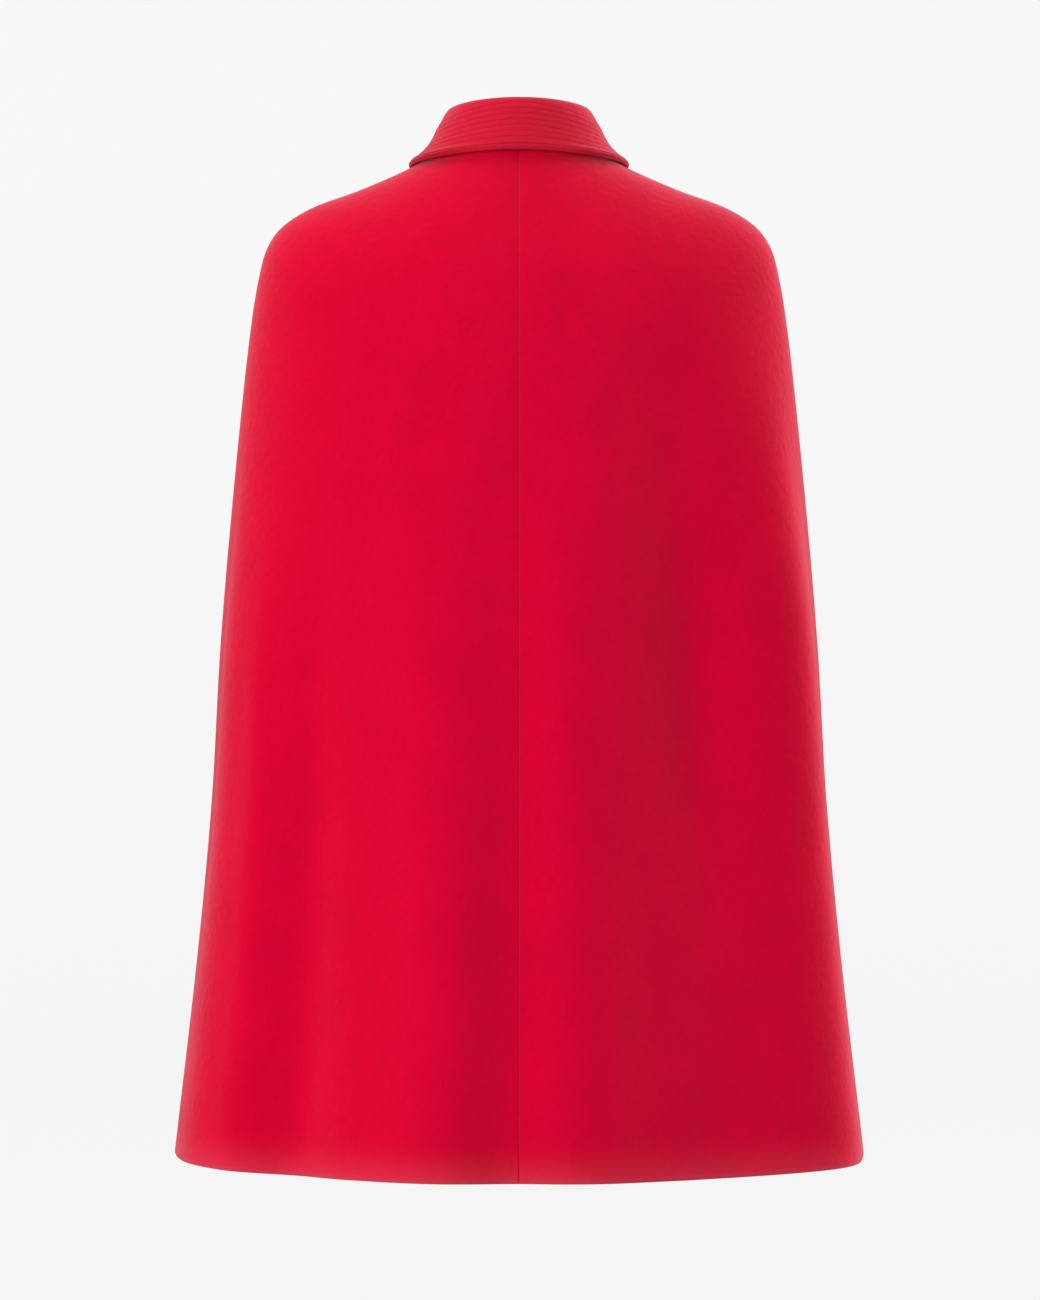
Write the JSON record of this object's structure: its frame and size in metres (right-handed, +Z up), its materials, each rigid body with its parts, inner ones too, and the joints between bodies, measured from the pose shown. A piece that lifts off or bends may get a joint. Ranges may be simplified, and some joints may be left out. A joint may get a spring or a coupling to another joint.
{
  "type": "wool cape",
  "caption": "Long wool cape with a turned-down stitched collar and a buttoned front, open at neck and hem, shaped as it hangs from the shoulders.",
  "frame": {"origin": "the middle of the neck opening, at the height where the shoulders carry the cape", "axes": "+Z up, +Y to the back of the cape, +X to the wearer's left"},
  "size_m": [0.6037, 0.3976, 0.9204],
  "materials": {
    "wool": "red fulled wool with a short nap, paler where it is seen at a low angle",
    "button": "dark red dyed button, softly polished"
  },
  "bodies": {
    "root": {"back_left": "wool", "back_right": "wool", "front_right": "wool", "front_left": "wool", "collar_stand": "wool", "collar_fall": "wool", "button_1": "button", "button_2": "button", "button_3": "button", "button_4": "button", "button_5": "button"}
  },
  "joints": []
}
